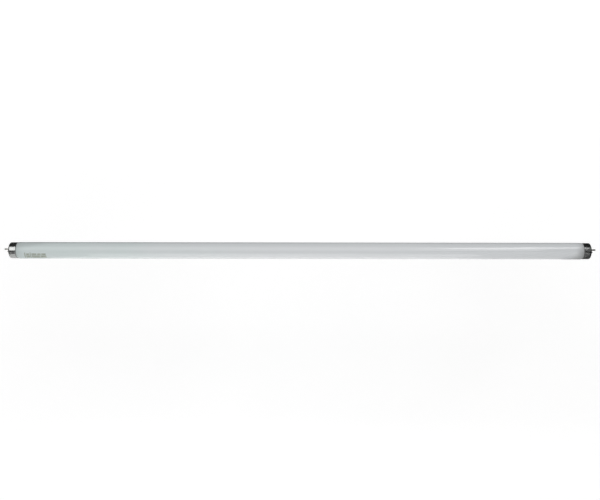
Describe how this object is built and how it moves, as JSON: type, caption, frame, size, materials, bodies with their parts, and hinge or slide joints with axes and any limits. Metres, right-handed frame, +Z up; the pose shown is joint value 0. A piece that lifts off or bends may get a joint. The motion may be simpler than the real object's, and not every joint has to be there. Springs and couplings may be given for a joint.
{
  "type": "fluorescent tube",
  "caption": "Straight sealed glass lamp tube with a drawn metal cap and a pair of contact pins at each end.",
  "frame": {"origin": "middle of the lamp's axis, halfway between the two base faces", "axes": "+X along the lamp, +Z up in the plane of the pins, +Y across the plane of the pins"},
  "size_m": [0.9088, 0.0256, 0.0256],
  "materials": {
    "glass": "opaque white coated glass, glossy outside",
    "cap_metal": "bright drawn sheet",
    "insulator": "moulded",
    "pin_metal": "dull nickel on brass",
    "cement": "rough basing cement",
    "wire": "bare wire"
  },
  "bodies": {
    "root": {"glass_envelope": "glass", "cap_shell_left": "cap_metal", "cap_shell_right": "cap_metal", "insulator_plate_left": "insulator", "insulator_plate_right": "insulator", "basing_cement_left": "cement", "basing_cement_right": "cement", "contact_pin_left_upper": "pin_metal", "contact_pin_left_lower": "pin_metal", "contact_pin_right_upper": "pin_metal", "contact_pin_right_lower": "pin_metal", "lead_wire_left_upper": "wire", "lead_wire_left_lower": "wire", "lead_wire_right_upper": "wire", "lead_wire_right_lower": "wire"}
  },
  "joints": []
}
